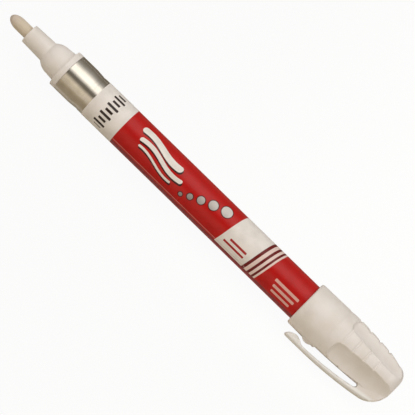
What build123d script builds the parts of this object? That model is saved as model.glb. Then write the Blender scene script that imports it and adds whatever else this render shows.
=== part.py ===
from build123d import *
import os
from math import acos, asin, degrees, sqrt

# A valve-action paint marker that lies on its side with the cap posted on the rear of the barrel.
# Sizes are in millimetres. The marker's axis is X and its nib points to -X.
# X is 0 at the front rim of the barrel tube, on the axis.

# Barrel tube: drawn aluminium, closed at the rear, with a land for the cap and a rolled crimp
TUBE_R = 6.95
TUBE_WALL = 0.45
TUBE_LENGTH = 119.0
TUBE_END_WALL = 0.6
TUBE_END_RADIUS = 2.5
LAND_RISE = 0.19
LAND_LENGTH = 6.5
LAND_TAPER = 2.2
CRIMP_GAP = 0.3
CRIMP_WIDTH = 1.6
CRIMP_DEPTH = 0.1

# Label film round the tube
LABEL_START = 12.4
LABEL_BARE_REAR = 5.0
LABEL_THICK = 0.07
LABEL_FIT = 0.01

# Nose section: neck, dome, shoulder and flange outside, a plug inside the tube
NECK_LENGTH = 8.75
NECK_FRONT_R = 3.55
NECK_REAR_R = 3.83
NECK_EDGE = 0.25
DOME_LENGTH = 4.2
SHOULDER_LENGTH = 3.3
SHOULDER_FRONT_R = 5.5
SHOULDER_REAR_R = 5.8
FLANGE_LENGTH = 2.1
PLUG_LENGTH = 12.0
PLUG_FIT = 0.02
PAINT_ROOM_R = 3.2
PAINT_ROOM_LENGTH = 6.0
FEED_GROOVES = 4
FEED_GROOVE_WIDTH = 0.9
FEED_GROOVE_DEPTH = 0.5
FEED_GROOVE_LAND = 1.5

# Nib: bullet-ended fibre rod, pressed back to open the valve
NIB_R = 2.225
NIB_OUT = 8.35
NIB_BULLET = 4.0
NIB_BEHIND_NECK = 16.35
NIB_FIT = 0.06
NIB_REAR_EDGE = 0.3
NIB_TRAVEL = 1.8

# Rubber ring between the plug and the tube
RING_POS = 3.8
RING_WIRE_R = 0.54
RING_FIT = 0.02
RING_SLOT_WIDTH = 1.5

# Valve housing with its seat, paint windows and rear lip
HOUSING_R = 4.6
HOUSING_FIT = 0.02
HOUSING_FRONT = 1.5
HOUSING_FLANGE_R = 6.2
HOUSING_FLANGE = 1.2
HOUSING_LENGTH = 22.4
ORIFICE_R = 1.9
ORIFICE_LENGTH = 1.9
VALVE_ROOM_R = 3.4
WINDOWS = 4
WINDOW_WIDTH = 2.2
WINDOW_GAP = 1.4
LIP_LENGTH = 0.5
LIP_RISE = 0.12

# Valve stem and the rubber ring on its poppet
PIN_R = 1.2
POPPET_R = 3.05
POPPET_THICK = 1.4
SEAL_THICK = 0.9
SEAL_BORE_R = 2.0
SEAL_FIT = 0.03
SEAT_GAP = 0.05
SPINDLE_R = 1.1
SPINDLE_FIT = 0.06
SPINDLE_PROUD = 0.3

# Spring retainer
RETAINER_R = 3.88
RETAINER_THICK = 1.4
RETAINER_FIT = 0.03
FLOW_HOLES = 3
FLOW_HOLE_R = 0.55
FLOW_HOLE_RING_R = 2.95

# Return spring, closed between the poppet and the retainer
SPRING_WIRE_R = 0.22
SPRING_MEAN_R = 1.95
SPRING_TURNS = 7
SPRING_FIT = 0.03

# Loose mixing ball, lying on the tube's lowest line
BALL_R = 3.0
BALL_FIT = 0.05
BALL_STAND_OFF = 0.3

# Cap: skirt, ringed grip, end and the room for the nose
POST_DEPTH = 10.5
CAPPED_MOUTH = 11.2
CAP_FIT = 0.08
CAP_WALL = 1.36
CAP_END_WALL = 1.2
SKIRT_DRAFT = 0.18
SKIRT_ROUND = 0.7
CAP_LIP = 0.3
BEAD_POS = 1.6
BEAD_WIDTH = 1.2
BEAD_FIT = 0.03
BORE_DEPTH = 14.5
END_FLAT_R = 2.8
END_CORNER = 4.0
GRIP_RINGS = 4
GRIP_PITCH = 4.55
GRIP_LAST_RING = 5.6
GRIP_STEP = 0.04
GRIP_FALL = 0.04
GRIP_CROWN = 0.1
NOTCH_DEPTH = 0.3
NOTCH_HALF_WIDTH = 0.55

# Recess under the clip, and four finger flutes: two beside the clip and two behind the side ridges
RECESS_DEPTH = 0.42
RECESS_HALF_ANGLE = 27.0
RECESS_SIDE_START = 7.6
RECESS_SLANT = 1.13
FLUTE_START = 3.1
FLUTE_ROUND = 1.5
CLIP_FLUTE_ANGLE = 57.0
CLIP_FLUTE_R = 10.0
CLIP_FLUTE_DEPTH = 1.25
CLIP_FLUTE_END_DEPTH = 1.6
BACK_FLUTE_ANGLE = 139.0
BACK_FLUTE_R = 7.0
BACK_FLUTE_DEPTH = 0.65
BACK_FLUTE_END_DEPTH = 0.8

# Clip, in one piece with the cap, and the boss that faces it
CLIP_TIP = 1.95
CLIP_GAP = 2.35
CLIP_THICK = 1.35
CLIP_STRAIGHT = 7.45
CLIP_FALL = 2.05
CLIP_ROOT_LENGTH = 6.9
CLIP_TIP_WIDTH = 4.4
CLIP_ROOT_WIDTH = 7.0
CLIP_TIP_ROUND = 1.4
SLOT_LENGTH = 29.2
SLOT_END_GAP = 1.85
PAD_START = 0.45
PAD_LENGTH = 6.3
PAD_RISE = 1.25
BOSS_POS = 8.95
BOSS_HALF_LENGTH = 2.55
BOSS_RISE = 0.8
BOSS_WIDTH = 3.6

# Liner in the cap that seals on the neck
LINER_FIT = 0.03
LINER_NECK_FIT = 0.07
LINER_WALL = 1.2
LINER_END_WALL = 0.9
LINER_DRAFT = 1.0
LINER_LEAD = 0.6
LINER_DOME_GAP = 0.3
LINER_NIB_GAP = 0.8

# Places that follow from the sizes above
LAND_R = TUBE_R + LAND_RISE
LAND_BORE_R = LAND_R - TUBE_WALL
TUBE_BORE_R = TUBE_R - TUBE_WALL
CRIMP_X = LAND_LENGTH + LAND_TAPER + CRIMP_GAP + CRIMP_WIDTH / 2
LABEL_R = TUBE_R + LABEL_FIT + LABEL_THICK
SHOULDER_X = -FLANGE_LENGTH - SHOULDER_LENGTH
DOME_X = SHOULDER_X - DOME_LENGTH
NECK_X = DOME_X - NECK_LENGTH
NIB_TIP_X = NECK_X - NIB_OUT
NIB_REAR_X = NECK_X + NIB_BEHIND_NECK
NIB_BORE_R = NIB_R + NIB_FIT
SEAT_X = HOUSING_FRONT + ORIFICE_LENGTH
HOUSING_END_X = HOUSING_FRONT + HOUSING_LENGTH
RETAINER_X = HOUSING_END_X - LIP_LENGTH - RETAINER_FIT - RETAINER_THICK
POPPET_FRONT_X = SEAT_X + POPPET_R + SEAT_GAP - ORIFICE_R + SEAL_THICK / 2
POPPET_REAR_X = POPPET_FRONT_X + POPPET_THICK
SPINDLE_END_X = RETAINER_X + RETAINER_THICK - SPINDLE_PROUD
BALL_X = HOUSING_END_X + NIB_TRAVEL + BALL_STAND_OFF + BALL_R
BALL_Z = -(TUBE_BORE_R - BALL_R - BALL_FIT)
MOUTH_X = TUBE_LENGTH - POST_DEPTH
CAP_BORE_R = LAND_R + CAP_FIT
CAP_R = CAP_BORE_R + CAP_WALL
CAP_LENGTH = CAPPED_MOUTH - NIB_TIP_X + LINER_NIB_GAP + LINER_END_WALL + CAP_END_WALL
CORNER_U = CAP_LENGTH - END_CORNER
CORNER_R = END_FLAT_R + END_CORNER
GRIP_U = CORNER_U - GRIP_LAST_RING - GRIP_RINGS * GRIP_PITCH
CLIP_REACH = CAP_R + GRIP_STEP + CLIP_GAP + CLIP_THICK
LINER_U = CAPPED_MOUTH - DOME_X + LINER_DOME_GAP
LINER_R = NECK_REAR_R + LINER_NECK_FIT + LINER_WALL
LINER_END_U = CAP_LENGTH - CAP_END_WALL


def at(x, r):
    """A point in the XZ plane, r above the axis."""
    return (x, 0, r)


def turned(points):
    """Revolve a closed outline of (x, r) points about the axis."""
    outline = Polyline([at(x, r) for x, r in points], close=True)
    return revolve(make_face(outline), Axis.X)


def ring(x0, x1, inner_r, outer_r):
    """A plain ring from x0 to x1."""
    return turned([(x0, inner_r), (x1, inner_r), (x1, outer_r), (x0, outer_r)])


def rod(x0, x1, r):
    """A plain round bar from x0 to x1, on the axis."""
    return turned([(x0, 0), (x1, 0), (x1, r), (x0, r)])


def around(shape, count):
    """Copies of a shape, evenly spaced round the axis."""
    return [Rot(360 / count * i, 0, 0) * shape for i in range(count)]


def corner_arc(x, r, radius):
    """Quarter round of a closed end: it starts at (x, r) and ends radius further on and lower."""
    half = radius * sqrt(0.5)
    middle = at(x + half, r - radius + half)
    return ThreePointArc(at(x, r), middle, at(x + radius, r - radius))


def tube_wall_line(offset):
    """The tube's wall seen in section, offset inwards: the outside for 0, the bore for the wall."""
    land_r = LAND_R - offset
    tube_r = TUBE_R - offset
    crimp_0 = CRIMP_X - CRIMP_WIDTH / 2
    crimp_1 = CRIMP_X + CRIMP_WIDTH / 2
    round_r = TUBE_END_RADIUS - offset
    end_x = TUBE_LENGTH - (TUBE_END_WALL if offset else 0)
    return [
        Polyline(at(0, land_r), at(LAND_LENGTH, land_r), at(LAND_LENGTH + LAND_TAPER, tube_r)),
        Line(at(LAND_LENGTH + LAND_TAPER, tube_r), at(crimp_0, tube_r)),
        ThreePointArc(at(crimp_0, tube_r), at(CRIMP_X, tube_r - CRIMP_DEPTH), at(crimp_1, tube_r)),
        Line(at(crimp_1, tube_r), at(end_x - round_r, tube_r)),
        corner_arc(end_x - round_r, tube_r, round_r),
        Line(at(end_x, tube_r - round_r), at(end_x, 0)),
    ]


def barrel_tube():
    outside = tube_wall_line(0)
    bore = tube_wall_line(TUBE_WALL)
    rim = Line(at(0, LAND_R), at(0, LAND_BORE_R))
    end = Line(at(TUBE_LENGTH, 0), at(TUBE_LENGTH - TUBE_END_WALL, 0))
    return revolve(make_face(outside + bore + [rim, end]), Axis.X)


def label_film():
    label_end = TUBE_LENGTH - LABEL_BARE_REAR
    return ring(LABEL_START, label_end, TUBE_R + LABEL_FIT, LABEL_R)


def nose_outside():
    """The nose as one solid bar: neck, dome, shoulder, flange and plug."""
    land_plug_r = LAND_BORE_R - PLUG_FIT
    plug_r = TUBE_BORE_R - PLUG_FIT
    shoulder = at(SHOULDER_X, SHOULDER_FRONT_R)
    neck_rear = at(DOME_X, NECK_REAR_R)
    edges = [
        Polyline(at(NECK_X, 0), at(NECK_X, NECK_FRONT_R - NECK_EDGE),
                 at(NECK_X + NECK_EDGE, NECK_FRONT_R), neck_rear),
        TangentArc(shoulder, neck_rear, tangent=(-1, 0, 0)),
        Polyline(shoulder, at(-FLANGE_LENGTH, SHOULDER_REAR_R), at(-FLANGE_LENGTH, LAND_R),
                 at(0, LAND_R), at(0, land_plug_r), at(LAND_LENGTH, land_plug_r),
                 at(LAND_LENGTH + LAND_TAPER, plug_r), at(PLUG_LENGTH, plug_r),
                 at(PLUG_LENGTH, 0), at(NECK_X, 0)),
    ]
    return revolve(make_face(edges), Axis.X)


def nose_section():
    room_x = NIB_REAR_X - PAINT_ROOM_LENGTH
    ring_slot = ring(RING_POS - RING_SLOT_WIDTH / 2, RING_POS + RING_SLOT_WIDTH / 2,
                     LAND_BORE_R - 2 * RING_WIRE_R - 2 * RING_FIT, LAND_R)
    crimp_half = CRIMP_WIDTH / 2 + PLUG_FIT
    crimp_slot = ring(CRIMP_X - crimp_half, CRIMP_X + crimp_half,
                      TUBE_BORE_R - CRIMP_DEPTH - 2 * PLUG_FIT, TUBE_R)
    groove_x0 = NECK_X + FEED_GROOVE_LAND
    groove_reach = NIB_BORE_R + FEED_GROOVE_DEPTH
    groove = Box(room_x - groove_x0, FEED_GROOVE_WIDTH, groove_reach,
                 align=(Align.MIN, Align.CENTER, Align.MIN))
    nose = nose_outside() - rod(NECK_X, HOUSING_FRONT, NIB_BORE_R)
    nose -= rod(room_x, HOUSING_FRONT, PAINT_ROOM_R)
    nose -= rod(HOUSING_FRONT, PLUG_LENGTH, HOUSING_R + HOUSING_FIT)
    nose -= [ring_slot, crimp_slot]
    return nose - around(Pos(groove_x0, 0, 0) * groove, FEED_GROOVES)


def nib():
    shoulder_x = NIB_TIP_X + NIB_BULLET
    bullet = EllipticalCenterArc((shoulder_x, 0), NIB_BULLET, NIB_R, 90, arc_size=90)
    edges = [
        Plane.XZ * bullet,
        Polyline(at(shoulder_x, NIB_R), at(NIB_REAR_X - NIB_REAR_EDGE, NIB_R),
                 at(NIB_REAR_X, NIB_R - NIB_REAR_EDGE), at(NIB_REAR_X, 0), at(NIB_TIP_X, 0)),
    ]
    return revolve(make_face(edges), Axis.X)


def barrel_seal():
    centre_r = LAND_BORE_R - RING_FIT - RING_WIRE_R
    return Pos(RING_POS, 0, 0) * Rot(0, 90, 0) * Torus(centre_r, RING_WIRE_R)


def valve_housing():
    seat_end_x = SEAT_X + VALVE_ROOM_R - ORIFICE_R
    pocket_r = RETAINER_R + RETAINER_FIT
    body = turned([
        (HOUSING_FRONT, ORIFICE_R), (SEAT_X, ORIFICE_R), (seat_end_x, VALVE_ROOM_R),
        (RETAINER_X, VALVE_ROOM_R), (RETAINER_X, pocket_r),
        (HOUSING_END_X - LIP_LENGTH, pocket_r), (HOUSING_END_X - LIP_LENGTH, pocket_r - LIP_RISE),
        (HOUSING_END_X, pocket_r), (HOUSING_END_X, HOUSING_R),
        (PLUG_LENGTH + HOUSING_FLANGE, HOUSING_R), (PLUG_LENGTH + HOUSING_FLANGE, HOUSING_FLANGE_R),
        (PLUG_LENGTH, HOUSING_FLANGE_R), (PLUG_LENGTH, HOUSING_R), (HOUSING_FRONT, HOUSING_R),
    ])
    window_x = PLUG_LENGTH + HOUSING_FLANGE + WINDOW_GAP
    window_length = RETAINER_X - WINDOW_GAP - window_x
    window = Box(window_length, WINDOW_WIDTH, 2 * HOUSING_R, align=(Align.MIN, Align.CENTER, Align.MIN))
    return body - around(Pos(window_x, 0, 0) * window, WINDOWS)


def valve_stem():
    seal_x = POPPET_FRONT_X - SEAL_THICK
    boss_r = SEAL_BORE_R
    return turned([
        (NIB_REAR_X, 0), (NIB_REAR_X, PIN_R), (seal_x - (boss_r - PIN_R), PIN_R), (seal_x, boss_r),
        (POPPET_FRONT_X, boss_r), (POPPET_FRONT_X, POPPET_R), (POPPET_REAR_X, POPPET_R),
        (POPPET_REAR_X, SPINDLE_R), (SPINDLE_END_X, SPINDLE_R), (SPINDLE_END_X, 0),
    ])


def valve_seal():
    seal_x = POPPET_FRONT_X - SEAL_THICK
    bevel = SEAL_THICK / 2
    bore_r = SEAL_BORE_R + SEAL_FIT
    return turned([
        (seal_x, bore_r), (seal_x, POPPET_R - bevel), (seal_x + bevel, POPPET_R),
        (POPPET_FRONT_X, POPPET_R), (POPPET_FRONT_X, bore_r),
    ])


def spring_retainer():
    disc = ring(RETAINER_X, RETAINER_X + RETAINER_THICK, SPINDLE_R + SPINDLE_FIT, RETAINER_R)
    hole = Pos(0, 0, FLOW_HOLE_RING_R) * rod(RETAINER_X, RETAINER_X + RETAINER_THICK, FLOW_HOLE_R)
    return disc - around(hole, FLOW_HOLES)


def biarc(start, end, start_way, end_way):
    """Two arcs that leave start along start_way and reach end along end_way."""
    chord = end - start
    turn = 1 - start_way.dot(end_way)
    lean = chord.dot(start_way + end_way)
    reach = (sqrt(lean * lean + 2 * turn * chord.dot(chord)) - lean) / (2 * turn)
    middle = (start + end + (start_way - end_way) * reach) * 0.5
    first = TangentArc(start, middle, tangent=start_way)
    return [first, TangentArc(middle, end, tangent=first % 1)]


def valve_spring():
    """One unbroken wire, wound in quarter turns."""
    x0 = POPPET_REAR_X + SPRING_FIT + SPRING_WIRE_R
    x1 = RETAINER_X - SPRING_FIT - SPRING_WIRE_R
    helix = Helix((x1 - x0) / SPRING_TURNS, x1 - x0, SPRING_MEAN_R, center=(x0, 0, 0), direction=(1, 0, 0))
    quarters = 4 * SPRING_TURNS
    path = []
    for i in range(quarters):
        a = i / quarters
        b = (i + 1) / quarters
        path += biarc(helix @ a, helix @ b, helix % a, helix % b)
    line = Wire(path)
    section = Plane(line @ 0, z_dir=line % 0) * Circle(SPRING_WIRE_R)
    steps = 24
    points = [helix @ (i / (SPRING_TURNS * steps)) for i in range(SPRING_TURNS * steps + 1)]
    apart = min((p - q).length for i, p in enumerate(points) for q in points[i + steps // 2:])
    print(f"valve_spring: least gap to itself {apart - 2 * SPRING_WIRE_R:.2f} mm")
    return sweep(section, path=line)


def mixing_ball():
    return Pos(BALL_X, 0, BALL_Z) * Sphere(BALL_R)


def groove_r(n):
    """Radius of the grip's notches, n ring pitches behind its start."""
    return CAP_R + GRIP_STEP - GRIP_FALL * n * (n + 2)


def core_r(u):
    """Radius of the recessed surface u behind the mouth."""
    return groove_r((u - GRIP_U) / GRIP_PITCH) - RECESS_DEPTH


def cap_outside():
    """Skirt, crowned grip rings with notches between them and rounded end, without flutes or clip."""
    edges = [Polyline(at(0, 0), at(0, CAP_R - CAP_LIP), at(CAP_LIP, CAP_R),
                      at(GRIP_U - SKIRT_ROUND, CAP_R + SKIRT_DRAFT), at(GRIP_U, groove_r(0)))]
    u0, r0 = GRIP_U, groove_r(0)
    for i in range(1, GRIP_RINGS + 1):
        notch_u = GRIP_U + i * GRIP_PITCH
        notch_r = groove_r(i)
        top_r = notch_r + NOTCH_DEPTH
        u1 = notch_u - NOTCH_HALF_WIDTH
        edges.append(ThreePointArc(at(u0, r0), at((u0 + u1) / 2, (r0 + top_r) / 2 + GRIP_CROWN), at(u1, top_r)))
        u0, r0 = notch_u + NOTCH_HALF_WIDTH, top_r
        edges.append(Polyline(at(u1, top_r), at(notch_u, notch_r), at(u0, r0)))
    last_crown = at((u0 + CORNER_U) / 2, (r0 + CORNER_R) / 2 + GRIP_CROWN)
    edges.append(ThreePointArc(at(u0, r0), last_crown, at(CORNER_U, CORNER_R)))
    edges.append(corner_arc(CORNER_U, CORNER_R, END_CORNER))
    edges.append(Polyline(at(CAP_LENGTH, END_FLAT_R), at(CAP_LENGTH, 0), at(0, 0)))
    return revolve(make_face(edges), Axis.X)


def clip_side_recess():
    """What is taken off under the clip, with a slanted front edge."""
    start_u = 0
    last_u = CORNER_U
    middle_u = (start_u + last_u) / 2
    corner = END_CORNER - RECESS_DEPTH
    far_r = 2 * CAP_R
    behind_u = CAP_LENGTH + END_CORNER
    low = [
        ThreePointArc(at(start_u, core_r(start_u)), at(middle_u, core_r(middle_u)),
                      at(last_u, CORNER_R - RECESS_DEPTH)),
        corner_arc(last_u, CORNER_R - RECESS_DEPTH, corner),
        Polyline(at(last_u + corner, END_FLAT_R), at(behind_u, END_FLAT_R), at(behind_u, far_r),
                 at(start_u, far_r), at(start_u, core_r(start_u))),
    ]
    face = Rot(180 - RECESS_HALF_ANGLE, 0, 0) * make_face(low)
    sector = revolve(face, Axis.X, 2 * RECESS_HALF_ANGLE)
    slant = Plane((GRIP_U + RECESS_SIDE_START, 0, 0), z_dir=(1, 0, -RECESS_SLANT))
    return split(sector, bisect_by=slant, keep=Keep.TOP)


def flutes(angle, r, depth, end_depth):
    """A pair of straight finger flutes with rounded fronts, turned this far from the clip to each side."""
    foot = Vector(GRIP_U + FLUTE_START, 0, groove_r(FLUTE_START / GRIP_PITCH) - depth)
    run = Vector(CORNER_U, 0, CORNER_R - end_depth) - foot
    outward = Vector(-run.Z, 0, run.X).normalized()
    bar = Cylinder(r, 2 * run.length, align=(Align.CENTER, Align.CENTER, Align.MIN))
    front = bar.edges().filter_by(GeomType.CIRCLE).sort_by(Axis.Z)[0]
    tool = Plane(foot + outward * r, z_dir=run) * fillet(front, FLUTE_ROUND)
    return [Rot(180 - angle, 0, 0) * tool, Rot(angle - 180, 0, 0) * tool]


def clip():
    """The clip below the cap: crowned like the cap, cut to a tapered plan with a rounded tip."""
    tip_u = CLIP_TIP
    inner = CLIP_REACH - CLIP_THICK
    straight_u = tip_u + CLIP_STRAIGHT
    root_u = CAP_LENGTH - CLIP_ROOT_LENGTH
    slot_u = tip_u + SLOT_LENGTH
    slot_r = core_r(slot_u) + SLOT_END_GAP
    pad_u = tip_u + PAD_START
    pad_end_u = pad_u + PAD_LENGTH
    inside_r = CORNER_R - END_CORNER
    outer = TangentArc(at(straight_u, CLIP_REACH), at(root_u, CLIP_REACH - CLIP_FALL), tangent=(1, 0, 0))
    root = TangentArc(outer @ 1, at(CAP_LENGTH, END_FLAT_R), tangent=outer % 1)
    inner_line = TangentArc(at(pad_end_u, inner), at(slot_u, slot_r), tangent=(1, 0, 0))
    nose_r = CLIP_THICK / 2
    edges = [
        ThreePointArc(at(pad_u, inner), at(tip_u, inner + nose_r), at(tip_u + nose_r, CLIP_REACH)),
        Line(at(tip_u + nose_r, CLIP_REACH), at(straight_u, CLIP_REACH)),
        outer,
        root,
        Polyline(at(CAP_LENGTH, END_FLAT_R), at(CAP_LENGTH, inside_r / 2), at(slot_u, inside_r / 2),
                 at(slot_u, slot_r)),
        inner_line,
        ThreePointArc(at(pad_end_u, inner), at(pad_u + PAD_LENGTH / 2, inner - PAD_RISE), at(pad_u, inner)),
    ]
    band = revolve(Rot(-90, 0, 0) * make_face(edges), Axis.X, 180)
    plan = make_face(Polyline((tip_u, -CLIP_TIP_WIDTH / 2), (CAP_LENGTH, -CLIP_ROOT_WIDTH / 2),
                              (CAP_LENGTH, CLIP_ROOT_WIDTH / 2), (tip_u, CLIP_TIP_WIDTH / 2), close=True))
    plan = fillet(plan.vertices().sort_by(Axis.X)[:2], CLIP_TIP_ROUND)
    blade = band & extrude(plan, 2 * CLIP_REACH)
    return Rot(180, 0, 0) * blade


def boss():
    """Rounded rib on the skirt that faces the clip."""
    base_r = CAP_R - CAP_WALL / 2
    top = at(BOSS_POS, CAP_R + BOSS_RISE)
    u0 = BOSS_POS - BOSS_HALF_LENGTH
    u1 = BOSS_POS + BOSS_HALF_LENGTH
    edges = [
        ThreePointArc(at(u0, base_r), top, at(u1, base_r)),
        Line(at(u1, base_r), at(u0, base_r)),
    ]
    return Rot(180, 0, 0) * extrude(make_face(edges), BOSS_WIDTH / 2, both=True, dir=(0, 1, 0))


def cap_room():
    """The hollow of the cap: mouth, snap bead, bore, shoulder and the liner's socket."""
    bead_r = LABEL_R + BEAD_FIT
    bead_0 = BEAD_POS - BEAD_WIDTH / 2
    bead_1 = BEAD_POS + BEAD_WIDTH / 2
    socket_r = LINER_R + LINER_FIT
    socket_end_r = socket_r - LINER_DRAFT
    chamfer = END_CORNER / 2
    edges = [
        Polyline(at(0, 0), at(0, CAP_BORE_R + CAP_LIP), at(CAP_LIP, CAP_BORE_R), at(bead_0, CAP_BORE_R)),
        ThreePointArc(at(bead_0, CAP_BORE_R), at(BEAD_POS, bead_r), at(bead_1, CAP_BORE_R)),
        Polyline(at(bead_1, CAP_BORE_R), at(BORE_DEPTH, CAP_BORE_R), at(LINER_U, socket_r),
                 at(LINER_END_U - chamfer, socket_end_r), at(LINER_END_U, socket_end_r - chamfer / 2),
                 at(LINER_END_U, 0), at(0, 0)),
    ]
    return revolve(make_face(edges), Axis.X)


def cap_shell():
    shell = cap_outside() - clip_side_recess()
    shell -= flutes(CLIP_FLUTE_ANGLE, CLIP_FLUTE_R, CLIP_FLUTE_DEPTH, CLIP_FLUTE_END_DEPTH)
    shell -= flutes(BACK_FLUTE_ANGLE, BACK_FLUTE_R, BACK_FLUTE_DEPTH, BACK_FLUTE_END_DEPTH)
    shell += clip()
    shell += boss()
    return shell - cap_room()


def inner_cap():
    """Liner with a tapered bore for the neck and a closed room for the nib."""
    chamfer = END_CORNER / 2
    end_r = LINER_R - LINER_DRAFT
    neck_front_u = CAPPED_MOUTH - NECK_X
    rear_r = NECK_REAR_R + LINER_NECK_FIT
    front_r = NECK_FRONT_R + LINER_NECK_FIT
    nib_room_r = front_r - LINER_LEAD
    nib_room_u = LINER_END_U - LINER_END_WALL
    return turned([
        (LINER_U, rear_r + LINER_LEAD), (LINER_U + LINER_LEAD, rear_r), (neck_front_u, front_r),
        (neck_front_u + LINER_LEAD, nib_room_r), (nib_room_u, nib_room_r), (nib_room_u, 0),
        (LINER_END_U, 0), (LINER_END_U, end_r - chamfer / 2), (LINER_END_U - chamfer, end_r),
        (LINER_U, LINER_R),
    ])


def clip_roll():
    """Turn of the cap about the axis at which the clip's edge and the cap both touch the table."""
    widening = (CLIP_ROOT_WIDTH - CLIP_TIP_WIDTH) / (CAP_LENGTH - CLIP_TIP)
    half_width = (CLIP_TIP_WIDTH + widening * CLIP_STRAIGHT) / 2
    cap_reach = CAP_R + SKIRT_DRAFT
    return degrees(asin(half_width / CLIP_REACH) + acos(cap_reach / CLIP_REACH))


on_barrel = Pos(MOUTH_X, 0, 0) * Rot(-clip_roll(), 0, 0)
pieces = {
    "barrel_tube": barrel_tube(),
    "label_film": label_film(),
    "nose_section": nose_section(),
    "nib": nib(),
    "barrel_seal": barrel_seal(),
    "valve_housing": valve_housing(),
    "valve_stem": valve_stem(),
    "valve_seal": valve_seal(),
    "valve_spring": valve_spring(),
    "spring_retainer": spring_retainer(),
    "mixing_ball": mixing_ball(),
    "cap_shell": on_barrel * cap_shell(),
    "inner_cap": on_barrel * inner_cap(),
}

os.makedirs("parts", exist_ok=True)
for name, shape in pieces.items():
    export_step(shape, f"parts/{name}.step")
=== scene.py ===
from math import acos, asin, atan, atan2, cos, pi, radians, sin

import bmesh
import bpy
from mathutils import Matrix, Vector


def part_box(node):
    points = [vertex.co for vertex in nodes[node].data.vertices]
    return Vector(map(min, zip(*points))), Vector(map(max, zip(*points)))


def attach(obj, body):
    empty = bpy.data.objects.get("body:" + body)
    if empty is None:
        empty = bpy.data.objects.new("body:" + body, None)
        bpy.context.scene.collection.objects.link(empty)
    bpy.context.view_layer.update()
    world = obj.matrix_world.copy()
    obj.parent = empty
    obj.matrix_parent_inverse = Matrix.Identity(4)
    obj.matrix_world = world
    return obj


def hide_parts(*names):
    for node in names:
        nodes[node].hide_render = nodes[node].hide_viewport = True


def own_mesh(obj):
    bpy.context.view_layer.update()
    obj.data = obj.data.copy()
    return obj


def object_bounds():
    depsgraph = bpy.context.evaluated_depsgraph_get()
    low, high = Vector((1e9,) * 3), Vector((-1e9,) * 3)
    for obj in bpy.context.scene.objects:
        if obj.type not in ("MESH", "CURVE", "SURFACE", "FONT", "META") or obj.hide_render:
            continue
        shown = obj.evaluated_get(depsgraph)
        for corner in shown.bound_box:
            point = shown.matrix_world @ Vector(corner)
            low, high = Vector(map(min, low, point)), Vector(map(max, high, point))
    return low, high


# A paint marker lying on its side, with its cap posted on the rear of the barrel.
# Sizes are in millimetres up to the point where a mesh is made, and MM turns them into metres.
# The marker's axis is X, its nib points to -X, and X is 0 at the front rim of the barrel tube.

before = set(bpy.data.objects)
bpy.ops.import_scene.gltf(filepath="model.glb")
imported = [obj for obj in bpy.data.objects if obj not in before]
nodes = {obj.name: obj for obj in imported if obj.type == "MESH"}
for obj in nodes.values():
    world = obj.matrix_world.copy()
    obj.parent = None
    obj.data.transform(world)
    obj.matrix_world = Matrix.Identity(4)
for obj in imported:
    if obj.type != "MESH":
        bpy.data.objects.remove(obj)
cad_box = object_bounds()
MM = 0.001


def ends_of(node):
    """Where a node of the frame starts and ends along the axis, and its largest radius, in millimetres."""
    low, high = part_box(node)
    return low.x / MM, high.x / MM, high.z / MM


NIB_TIP_X, NIB_REAR_X, NIB_R = ends_of("nib")
NECK_X, PLUG_END_X, LAND_R = ends_of("nose_section")
RIM_X, TUBE_END_X, _ = ends_of("barrel_tube")
FILM_X, FILM_END_X, FILM_R = ends_of("label_film")
MOUTH_X, CAP_END_X, _ = ends_of("cap_shell")
LINER_X, LINER_END_X, LINER_R = ends_of("inner_cap")

# Meshes: points that lie within WELD of each other are one
SIDES = 128
ARC_STEPS = 12
ROUND_STEPS = 8
SMALL_ROUND_STEPS = 6
STRAIGHT_RISE = 1e-9
WELD = 0.0005
BEVEL_STEPS = 3
BEVEL_TURN = radians(32)
SMOOTH_TURN = radians(30)

# Nose section
NECK_LENGTH = 8.75
NECK_FRONT_R = 3.55
NECK_REAR_R = 3.83
DOME_LENGTH = 4.2
SHOULDER_FRONT_R = 5.5
SHOULDER_REAR_R = 5.8
FLANGE_LENGTH = 2.1
NIB_BORE_R = 2.285
PAINT_ROOM_R = 3.2
PAINT_ROOM_LENGTH = 6.0
HOUSING_SOCKET_R = 4.62
HOUSING_SOCKET_X = 1.5
PLUG_FIT = 0.05
NOSE_EDGE = 0.2

# Nib
NIB_BULLET = 4.0
NIB_REAR_EDGE = 0.3

# Barrel tube and its film
TUBE_R = 6.95
TUBE_WALL = 0.45
TUBE_END_WALL = 0.6
TUBE_END_RADIUS = 2.5
LAND_LENGTH = 6.5
LAND_TAPER = 2.2
CRIMP_X = 9.8
CRIMP_WIDTH = 1.6
CRIMP_DEPTH = 0.1
TUBE_EDGE = 0.12
FILM_THICK = 0.07
FILM_LAP = 0.02
FILM_LAP_WIDTH = 2.6

# Cap, with distances u behind its mouth
CAP_LENGTH = CAP_END_X - MOUTH_X
CAP_BORE_R = 7.22
CAP_R = 8.58
CAP_LIP = 0.3
BEAD_U = 1.6
BEAD_WIDTH = 1.2
BEAD_R = 7.1
BORE_DEPTH = 14.5
SOCKET_U = LINER_X - MOUTH_X
SOCKET_R = 5.13
SOCKET_END_R = 4.13
SOCKET_CHAMFER = 2.0
SKIRT_DRAFT = 0.18
SKIRT_ROUND = 0.7
END_FLAT_R = 2.8
END_CORNER = 4.0
CORNER_U = CAP_LENGTH - END_CORNER
CORNER_R = END_FLAT_R + END_CORNER
GRIP_RINGS = 4
GRIP_PITCH = 4.55
GRIP_LAST_RING = 5.6
GRIP_U = CORNER_U - GRIP_LAST_RING - GRIP_RINGS * GRIP_PITCH
GRIP_STEP = 0.04
GRIP_FALL = 0.04
GRIP_SLOPE = 2.0
GRIP_CROWN = 0.1
NOTCH_DEPTH = 0.3
NOTCH_HALF_WIDTH = 0.55
REAR_NOTCH_CUT = 0.12
MOUTH_ROUND = 0.7
RECESS_DEPTH = 0.42
RECESS_HALF_TURN = radians(27)
RECESS_SIDE_START = 7.6
RECESS_SLANT = 1.13
RECESS_STEPS = 64
FLUTE_START = 3.1
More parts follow.
